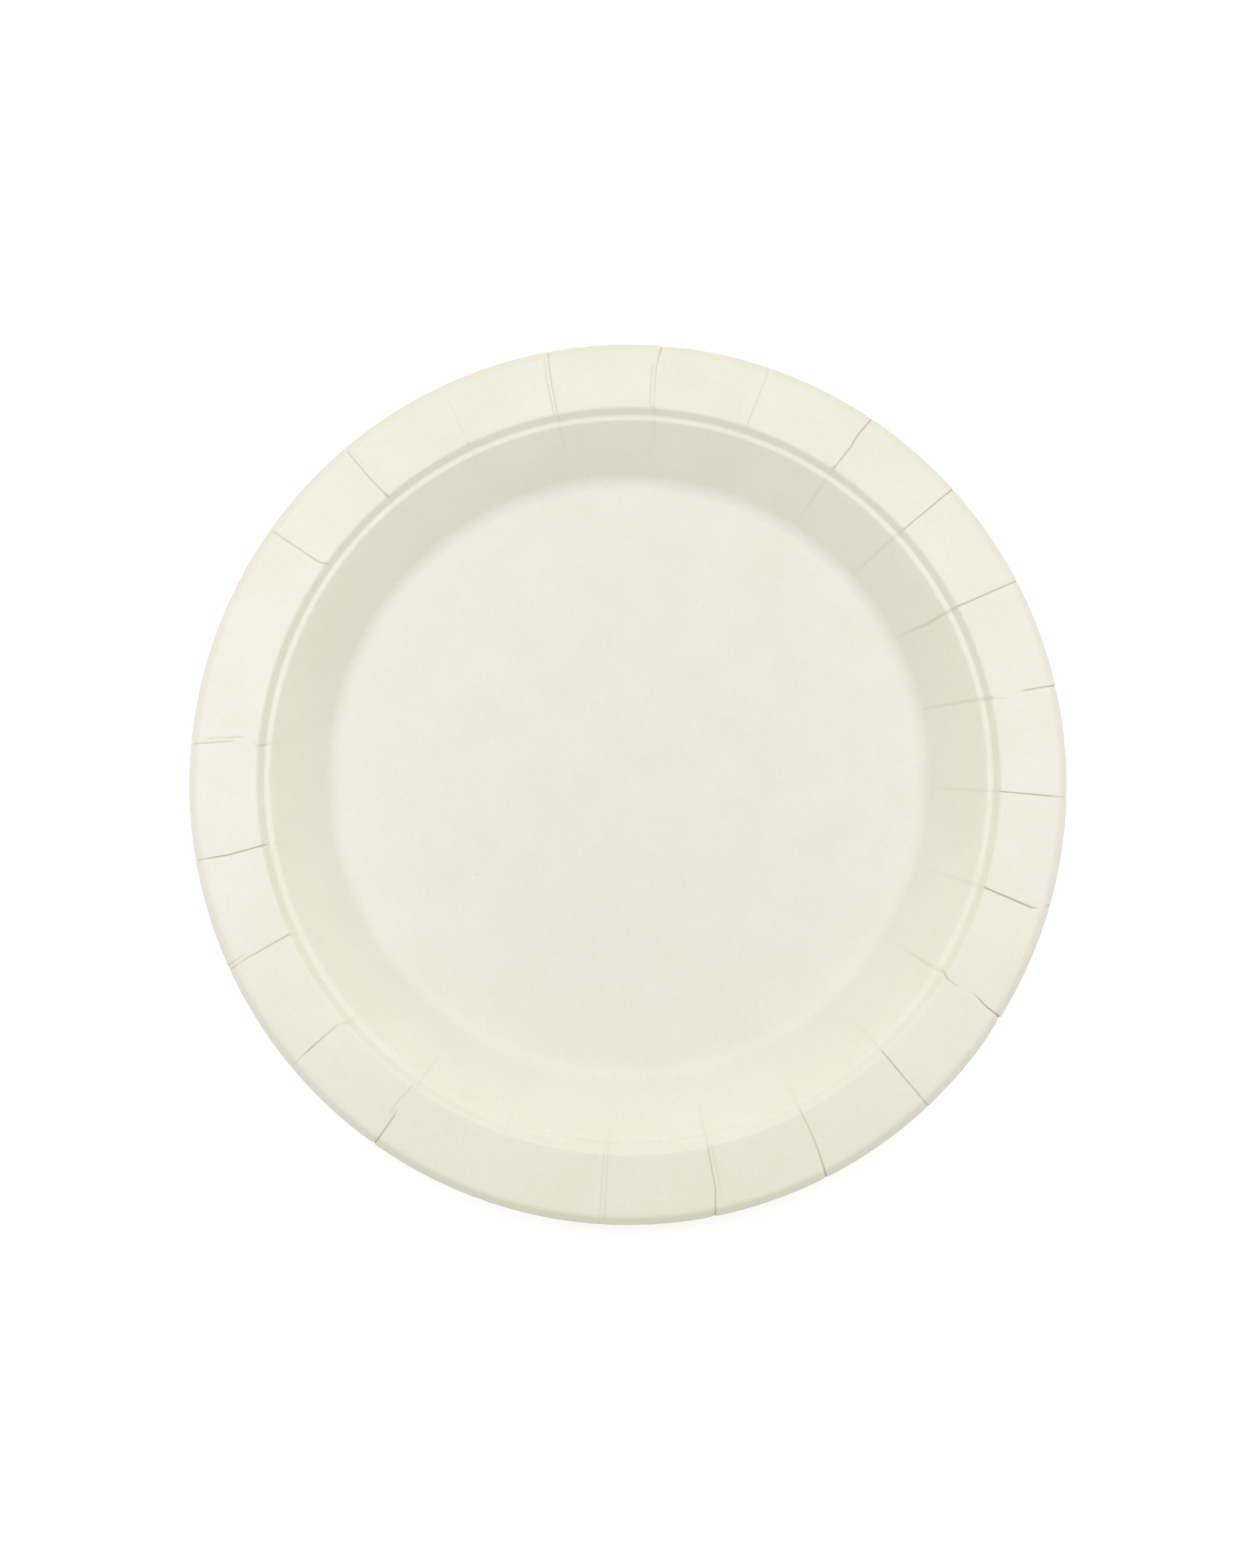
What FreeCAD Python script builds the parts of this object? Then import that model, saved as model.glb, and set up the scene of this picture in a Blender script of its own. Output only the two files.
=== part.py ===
import FreeCAD, Part
import math
import os

import Sketcher
from FreeCAD import Vector

# Round paperboard plate, pressed from one scored disc: a flat floor, a sloping wall, a narrow ledge, a broad
# brim and a turned-down lip. Pressing leaves the board with more edge than the plate needs, and each pleat
# tucks a share of it into a folded band, a little thicker than the board. Lengths are in millimetres and
# angles in degrees. The plate stands on z = 0, and its axis is the Z axis.

NODE = "plate"

# Driving sizes: the alias of each cell, its value and what it measures.
SIZES = [
    ("plate_radius", 115.0, "axis to the upper corner of the lip's edge"),
    ("plate_height", 19.0, "underside of the floor to the brim's inner corner"),
    ("board", 0.4, "thickness of the paperboard"),
    ("foot_curve", 7.0, "radius of the upper face between floor and wall"),
    ("wall_slope", 51.5, "angle of the wall to the floor"),
    ("ledge_width", 1.4, "ledge, from the wall to the step"),
    ("step_run", 1.3, "step, measured across"),
    ("step_rise", 2.4, "step, measured upwards"),
    ("brim_width", 15.2, "brim, measured across"),
    ("brim_fall", 1.0, "drop of the brim towards the lip"),
    ("shoulder_width", 1.5, "first half of the lip's bend, measured across"),
    ("shoulder_drop", 0.75, "first half of the lip's bend, measured downwards"),
    ("lip_width", 1.8, "lip, measured across"),
    ("lip_drop", 1.55, "lip, measured downwards"),
    ("pleat_count", 24, "pleats around the plate"),
    ("pleat_phase", 11.3, "angle of the first pleat from the X axis"),
    ("pleat_foot", 6.0, "height on the wall where the pleats begin"),
    ("tuck_width", 1.25, "folded band of a pleat, measured across at the plate's edge"),
    ("tuck_rise", 0.12, "how far the pressed band stands proud of each face"),
    ("tuck_setback", 0.3, "how far the band ends short of the lip's edge"),
]

# The straight runs of the upper face, from the axis to the lip's edge.
FLOOR, WALL, LEDGE, STEP, BRIM, SHOULDER, LIP = range(7)

# Height of each line above the upper face, as the cells that add up to it.
UNDERSIDE = {"board": -1}
MID_BOARD = {"board": -0.5}
BAND_TOP = {"tuck_rise": 1}
BAND_BOTTOM = {"board": -1, "tuck_rise": -1}

# Point numbers of a sketch's edges, and the sketch's own origin and upright axis.
FIRST, SECOND = range(1, 3)
ORIGIN = (-1, 1)
UPRIGHT = ORIGIN[0] - FIRST

# How near an edge has to be to a worked-out place to be taken for the one there.
SAME_PLACE = 0.001


def make_sheet(doc):
    """The spreadsheet of driving sizes."""
    sheet = doc.addObject("Spreadsheet::Sheet", "sizes")
    for row, (alias, number, meaning) in enumerate(SIZES, start=1):
        sheet.set(f"A{row}", alias)
        sheet.set(f"B{row}", str(number))
        sheet.set(f"C{row}", meaning)
        sheet.setAlias(f"B{row}", alias)
    doc.recompute()
    return sheet


def length_of(terms):
    """The distance that a sum of cells stands for, as an expression."""
    parts = [f"{share} * sizes.{alias}" for alias, share in terms.items()]
    return "abs(" + " + ".join(parts) + ")"


class Section:
    """A sketch in the XZ plane, drawn along the plate's upper face.

    The face's runs come first, and the section's other edges are drawn parallel to them.
    """

    def __init__(self, body, name, sheet):
        self.sheet = sheet
        self.sketch = body.newObject("Sketcher::SketchObject", name)
        plane = next(item for item in body.Origin.OriginFeatures if item.Role == "XZ_Plane")
        self.sketch.AttachmentSupport = [(plane, "")]
        self.sketch.MapMode = "FlatFace"
        self.corners = self.face_corners()

    def size(self, alias):
        """The value of a cell."""
        return float(self.sheet.get(alias))

    def total(self, terms):
        """The value of a sum of cells."""
        return sum(share * self.size(alias) for alias, share in terms.items())

    def line(self, start, end, construction=False):
        """A straight edge."""
        return self.sketch.addGeometry(Part.LineSegment(start, end), construction)

    def join(self, kind, *where):
        """A constraint with no size of its own."""
        self.sketch.addConstraint(Sketcher.Constraint(kind, *where))

    def bind(self, name, expression, *constraint):
        """A constraint whose size comes from the sheet."""
        index = self.sketch.addConstraint(Sketcher.Constraint(*constraint))
        self.sketch.renameConstraint(index, name)
        self.sketch.setExpression(f"Constraints.{name}", expression)

    def bind_cell(self, alias, *constraint):
        """A constraint that measures one cell."""
        self.bind(alias, f"sizes.{alias}", *constraint, self.size(alias))

    def face_corners(self):
        """The corners of the upper face, from the axis to the lip's edge."""
        crest_height = self.size("plate_height")
        brim_end = crest_height - self.size("brim_fall")
        shoulder_end = brim_end - self.size("shoulder_drop")
        ledge_height = crest_height - self.size("step_rise")
        floor_height = self.size("board")
        edge = Vector(self.size("plate_radius"), shoulder_end - self.size("lip_drop"), 0)
        bend = Vector(edge.x - self.size("lip_width"), shoulder_end, 0)
        shoulder = Vector(bend.x - self.size("shoulder_width"), brim_end, 0)
        crest = Vector(shoulder.x - self.size("brim_width"), crest_height, 0)
        hollow = Vector(crest.x - self.size("step_run"), ledge_height, 0)
        brow = Vector(hollow.x - self.size("ledge_width"), ledge_height, 0)
        wall_run = (ledge_height - floor_height) / math.tan(math.radians(self.size("wall_slope")))
        foot = Vector(brow.x - wall_run, floor_height, 0)
        return [Vector(0, floor_height, 0), foot, brow, hollow, crest, shoulder, bend, edge]

    def draw_face(self, construction):
        """The runs of the upper face, sized from the sheet."""
        runs = [self.line(start, end, construction) for start, end in zip(self.corners, self.corners[1:])]
        for before, after in zip(runs, runs[1:]):
            self.join("Coincident", before, SECOND, after, FIRST)
        self.join("PointOnObject", runs[FLOOR], FIRST, UPRIGHT)
        self.join("Horizontal", runs[FLOOR])
        self.join("Horizontal", runs[LEDGE])
        self.bind_cell("board", "DistanceY", *ORIGIN, runs[FLOOR], FIRST)
        self.bind_cell("plate_radius", "DistanceX", *ORIGIN, runs[LIP], SECOND)
        self.bind_cell("plate_height", "DistanceY", *ORIGIN, runs[BRIM], FIRST)
        slope = math.radians(self.size("wall_slope"))
        between = (runs[FLOOR], FIRST, runs[WALL], FIRST)
        self.bind("wall_slope", "sizes.wall_slope * 1 deg", "Angle", *between, slope)
        across = {LEDGE: "ledge_width", STEP: "step_run", BRIM: "brim_width", SHOULDER: "shoulder_width"}
        across[LIP] = "lip_width"
        for run, alias in across.items():
            self.bind_cell(alias, "DistanceX", runs[run], FIRST, runs[run], SECOND)
        self.bind_cell("step_rise", "DistanceY", runs[STEP], FIRST, runs[STEP], SECOND)
        for run, alias in {BRIM: "brim_fall", SHOULDER: "shoulder_drop", LIP: "lip_drop"}.items():
            self.bind_cell(alias, "DistanceY", runs[run], SECOND, runs[run], FIRST)
        self.runs = runs

    def square_to(self, run):
        """The direction that points up from a run, square to it."""
        along = (self.corners[run + 1] - self.corners[run]).normalize()
        return Vector(-along.y, along.x, 0)

    def beside_corner(self, run, terms):
        """The corner at a run's start, on the line that lies a sum of cells above the face."""
        before = self.square_to(run - 1)
        after = self.square_to(run)
        return self.corners[run] + (before + after) * (self.total(terms) / (1 + before.dot(after)))

    def beside_end(self, terms, setback):
        """The end of that line beside the lip, setback short of the edge."""
        square = self.square_to(LIP)
        along = Vector(square.y, -square.x, 0)
        return self.corners[-1] + square * self.total(terms) - along * setback

    def draw_beside(self, name, terms, first_run, setback):
        """Edges parallel to the face's runs from first_run on, a sum of cells above them."""
        points = [self.beside_corner(run, terms) for run in range(first_run, len(self.runs))]
        points.append(self.beside_end(terms, setback))
        edges = [self.line(start, end) for start, end in zip(points, points[1:])]
        for edge, run in zip(edges, range(first_run, len(self.runs))):
            beside = (self.runs[run], SECOND, edge, abs(self.total(terms)))
            self.join("Parallel", edge, self.runs[run])
            self.bind(f"{name}_{run}", length_of(terms), "Distance", *beside)
        for before, after in zip(edges, edges[1:]):
            self.join("Coincident", before, SECOND, after, FIRST)
        return edges

    def close_edge(self, upper, lower, ends):
        """The short edge across the board's thickness, square to the lip."""
        edge = self.line(*ends)
        self.join("Coincident", upper, SECOND, edge, FIRST)
        self.join("Coincident", edge, SECOND, lower, SECOND)
        self.join("Perpendicular", edge, self.runs[LIP])
        return edge

    def draw_board(self):
        """The board's own section, with a sharp foot."""
        self.draw_face(construction=False)
        under = self.draw_beside("under", UNDERSIDE, WALL, 0)
        ends = (self.beside_end({}, 0), self.beside_end(UNDERSIDE, 0))
        self.close_edge(self.runs[LIP], under[-1], ends)
        foot = self.beside_corner(WALL, UNDERSIDE)
        base = self.line(Vector(0, 0, 0), foot)
        middle = self.line(Vector(0, 0, 0), self.corners[0])
        self.join("Coincident", base, FIRST, *ORIGIN)
        self.join("Coincident", base, SECOND, under[0], FIRST)
        self.join("Horizontal", base)
        self.join("Coincident", middle, FIRST, *ORIGIN)
        self.join("Coincident", middle, SECOND, self.runs[FLOOR], FIRST)

    def draw_band(self):
        """A tuck's section: proud of both faces, and fading into the board at pleat_foot on the wall."""
        self.draw_face(construction=True)
        square = self.square_to(WALL)
        along = Vector(square.y, -square.x, 0)
        inside = square * self.total(MID_BOARD)
        rise = self.size("pleat_foot") - self.corners[WALL].y - inside.y
        start = self.corners[WALL] + inside + along * (rise / along.y)
        setback = self.size("tuck_setback")
        first_edges = []
        last_edges = []
        for name, terms in {"top": BAND_TOP, "bottom": BAND_BOTTOM}.items():
            edges = self.draw_beside(name, terms, LEDGE, setback)
            first = self.line(start, self.beside_corner(LEDGE, terms))
            self.join("Coincident", first, SECOND, edges[0], FIRST)
            beside = (first, SECOND, self.runs[WALL], abs(self.total(terms)))
            self.bind(f"{name}_wall", length_of(terms), "Distance", *beside)
            first_edges.append(first)
            last_edges.append(edges[-1])
        self.join("Coincident", first_edges[0], FIRST, first_edges[1], FIRST)
        self.bind_cell("pleat_foot", "DistanceY", *ORIGIN, first_edges[0], FIRST)
        beside = (first_edges[0], FIRST, self.runs[WALL], inside.Length)
        self.bind("mid_board", length_of(MID_BOARD), "Distance", *beside)
        ends = (self.beside_end(BAND_TOP, setback), self.beside_end(BAND_BOTTOM, setback))
        edge = self.close_edge(*last_edges, ends)
        self.bind_cell("tuck_setback", "Distance", self.runs[LIP], SECOND, edge)


def revolve(body, name, section, angle):
    """A feature that turns a section about the plate's axis, through an angle from the sheet."""
    feature = body.newObject("PartDesign::Revolution", name)
    feature.Profile = section.sketch
    feature.ReferenceAxis = (section.sketch, ["V_Axis"])
    feature.Refine = False
    feature.setExpression("Angle", angle)
    body.Document.recompute()
    return feature


def round_foot(body, name, feature, corner, radius):
    """A fillet on the circle where wall and floor meet at corner, with its radius from the sheet."""
    circles = [
        f"Edge{number}"
        for number, edge in enumerate(feature.Shape.Edges, start=1)
        if math.hypot(edge.BoundBox.XMax - corner.x, edge.BoundBox.ZMax - corner.y) < SAME_PLACE
        and edge.BoundBox.ZLength < SAME_PLACE
    ]
    fillet = body.newObject("PartDesign::Fillet", name)
    fillet.Base = (feature, circles)
    fillet.Refine = False
    fillet.setExpression("Radius", radius)
    body.Document.recompute()
    return fillet


def build_plate(doc, sheet):
    """The plate: the pressed board, then one pleat's tuck, repeated around it."""
    body = doc.addObject("PartDesign::Body", NODE)
    board = Section(body, "board_section", sheet)
    board.draw_board()
    pressed = revolve(body, "pressed_board", board, "360")
    upper_foot = board.corners[WALL]
    lower_foot = board.beside_corner(WALL, UNDERSIDE)
    inner = round_foot(body, "foot_inside", pressed, upper_foot, "sizes.foot_curve")
    round_foot(body, "foot_outside", inner, lower_foot, "sizes.foot_curve + sizes.board")

    band = Section(body, "tuck_section", sheet)
    band.draw_band()
    tuck = revolve(body, "tuck", band, "sizes.tuck_width / sizes.plate_radius * 180 / pi")
    pleats = body.newObject("PartDesign::PolarPattern", "pleats")
    axis = next(item for item in body.Origin.OriginFeatures if item.Role == "Z_Axis")
    pleats.Originals = [tuck]
    pleats.Axis = (axis, [""])
    pleats.Angle = 360
    pleats.setExpression("Occurrences", "sizes.pleat_count")
    pleats.Refine = False
    body.Tip = pleats
    body.setExpression("Placement.Rotation.Angle", "sizes.pleat_phase * 1 deg")
    doc.recompute()
    return body


def check(doc, body):
    """Stop if any object failed, or if the plate isn't one valid solid."""
    for item in doc.Objects:
        if "Invalid" in item.State or "Error" in item.State:
            raise RuntimeError(f"{item.Label} failed: {item.State}")
    if body.Shape.isNull() or not body.Shape.isValid() or len(body.Shape.Solids) != 1:
        raise RuntimeError(f"{body.Label} is not one valid solid")


def main():
    """Build the plate and write it."""
    os.makedirs("parts", exist_ok=True)
    doc = FreeCAD.newDocument("paper_plate")
    sheet = make_sheet(doc)
    plate = build_plate(doc, sheet)
    check(doc, plate)
    plate.Shape.exportStep(f"parts/{NODE}.step")
    print(f"{NODE}: {plate.Shape.Volume:.1f} mm3, {len(plate.Shape.Faces)} faces, {plate.Shape.BoundBox}")


main()
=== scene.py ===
"""Paper plate: one sheet of paperboard, pressed and pleated, lying on a plain pale floor.

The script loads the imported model, builds the plate's visible sheet over it from the same sizes, lays a floor
under it and lights it softly. Lengths are in metres, and the plate stands on z = 0 with its axis on the Z
axis. Bearings are measured from the plate's back, which is +Y, clockwise as seen from above.
"""

import logging
import math
from dataclasses import dataclass, field
from enum import Enum

import bpy
import numpy as np
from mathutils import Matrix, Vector


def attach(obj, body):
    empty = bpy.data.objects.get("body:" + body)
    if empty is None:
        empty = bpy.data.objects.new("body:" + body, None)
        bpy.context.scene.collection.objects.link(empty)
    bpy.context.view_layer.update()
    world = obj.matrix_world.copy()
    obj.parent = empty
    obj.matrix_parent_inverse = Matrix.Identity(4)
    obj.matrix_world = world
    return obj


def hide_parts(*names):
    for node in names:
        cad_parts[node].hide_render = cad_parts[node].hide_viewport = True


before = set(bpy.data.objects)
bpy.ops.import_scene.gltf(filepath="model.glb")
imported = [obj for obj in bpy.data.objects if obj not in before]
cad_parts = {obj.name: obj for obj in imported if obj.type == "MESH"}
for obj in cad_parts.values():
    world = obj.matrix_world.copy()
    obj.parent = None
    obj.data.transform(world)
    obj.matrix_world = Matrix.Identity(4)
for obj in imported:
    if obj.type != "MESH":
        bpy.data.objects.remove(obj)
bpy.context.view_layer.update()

LOG = logging.getLogger("plate")
MM = 0.001


class Face(Enum):
    """A side of the sheet."""

    UPPER = 1
    UNDER = -1


class Tuck(Enum):
    """The side of a crease that its tucked board lies on, as seen from above."""

    CLOCKWISE = 1
    ANTICLOCKWISE = -1


@dataclass(frozen=True)
class Corner:
    """A corner of the plate's section, rounded by an arc, and the straight run that leads up to it."""

    radius: float
    height: float
    curve: float
    curve_rows: int
    run_rows: int


@dataclass(frozen=True)
class Section:
    """Half of the plate's section: points on the upper face from the middle outwards, with their normals."""

    points: np.ndarray
    normals: np.ndarray


@dataclass(frozen=True)
class PressedForm:
    """Sizes of the pressed sheet.

    They are the CAD model's, with its small roundings added and the foot a little tighter and steeper.
    """

    plate_radius: float = 115.0 * MM
    plate_height: float = 19.0 * MM
    board: float = 0.4 * MM
    foot_curve: float = 5.0 * MM
    wall_slope: float = math.radians(52.5)
    ledge_width: float = 1.4 * MM
    step_run: float = 1.3 * MM
    step_rise: float = 2.4 * MM
    brim_width: float = 15.9 * MM
    brim_fall: float = 1.05 * MM
    lip_width: float = 2.6 * MM
    edge_height: float = 15.7 * MM
    edge_round: float = 0.07 * MM
    brow_curve: float = 0.9 * MM
    hollow_curve: float = 0.6 * MM
    crest_curve: float = 0.9 * MM
    bend_curve: float = 2.5 * MM
    floor_rings: tuple[float, ...] = (12.0 * MM, 30.0 * MM, 48.0 * MM, 62.0 * MM, 71.0 * MM)

    def corners(self) -> list[Corner]:
        """The section's corners from the floor to the lip's edge.

        Returns:
            The corners in order, each worked out from the sizes on both sides of it.
        """
        crest = self.plate_radius - self.lip_width - self.brim_width
        ledge = self.plate_height - self.step_rise
        brow = crest - self.step_run - self.ledge_width
        foot = brow - (ledge - self.board) / math.tan(self.wall_slope)
        brim_end = self.plate_height - self.brim_fall
        return [
            Corner(foot, self.board, self.foot_curve, curve_rows=10, run_rows=1),
            Corner(brow, ledge, self.brow_curve, curve_rows=5, run_rows=12),
            Corner(crest - self.step_run, ledge, self.hollow_curve, curve_rows=4, run_rows=1),
            Corner(crest, self.plate_height, self.crest_curve, curve_rows=5, run_rows=2),
            Corner(self.plate_radius - self.lip_width, brim_end, self.bend_curve, curve_rows=7, run_rows=15),
            Corner(self.plate_radius - self.edge_round, self.edge_height, 0.0, curve_rows=1, run_rows=4),
        ]

    def section(self) -> Section:
        """The rounded section.

        Each corner is replaced by the arc that touches both runs: it begins and ends at curve * tan(turn / 2)
        from the corner, and its middle lies at curve along the normal of the runs.

        Returns:
            Points and upward normals in the plane of radius and height.
        """
        corners = self.corners()
        spots = [np.array([0.0, self.board])] + [np.array([c.radius, c.height]) for c in corners]
        points = [np.array([ring, self.board]) for ring in self.floor_rings]
        normals = [np.array([0.0, 1.0]) for _ in self.floor_rings]
        start = points[-1]
        for index, corner in enumerate(corners):
            spot = spots[index + 1]
            inward = (spot - spots[index]) / np.linalg.norm(spot - spots[index])
            onward = inward
            if index + 1 < len(corners):
                onward = (spots[index + 2] - spot) / np.linalg.norm(spots[index + 2] - spot)
            turn = math.atan2(inward[0] * onward[1] - inward[1] * onward[0], float(inward @ onward))
            reach = corner.curve * math.tan(abs(turn) / 2)
            touch = spot - inward * reach
            normal = np.array([-inward[1], inward[0]])
            for share in np.linspace(0.0, 1.0, corner.run_rows + 1)[1:]:
                points.append(start + (touch - start) * share)
                normals.append(normal)
            if corner.curve > 0.0:
                side = math.copysign(1.0, turn)
                middle = touch + normal * side * corner.curve
                for share in np.linspace(0.0, 1.0, corner.curve_rows + 1)[1:]:
                    angle = turn * share
                    turned = np.array(
                        [
                            normal[0] * math.cos(angle) - normal[1] * math.sin(angle),
                            normal[0] * math.sin(angle) + normal[1] * math.cos(angle),
                        ]
                    )
                    points.append(middle - turned * side * corner.curve)
                    normals.append(turned)
            start = points[-1]
        return Section(np.array(points), np.array(normals))


@dataclass(frozen=True)
class Stroke:
    """A line of a pleat on the brim, where one layer of board ends against the next.

    The lane is how far the line lies from the pleat's middle, outer and inner are the radii between which it
    shows, and the two weights are how deep it is there. All lengths are in millimetres.
    """

    lane: float
    outer: float
    inner: float
    outer_weight: float
    inner_weight: float


@dataclass(frozen=True)
class Pleat:
    """A pleat: where it strays from its even place, the line it follows and how deep its lines are.

    Stray is in degrees. Path points are a radius and how far clockwise the pleat lies there, in millimetres.
    Pinch is the dimple at the brim's inner corner, wall the line's weight down the wall, and nick the step in
    the outline.
    """

    stray: float
    path: tuple[tuple[float, float], ...]
    strokes: tuple[Stroke, ...]
    tuck: Tuck = Tuck.CLOCKWISE
    pinch: float = 0.0
    wall: float = 0.15
    wall_end: float = 86.0
    nick: float = 0.1
    nick_length: float = 1.5


STRAIGHT = ((113.9, 0.0), (96.7, 0.0))

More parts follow.
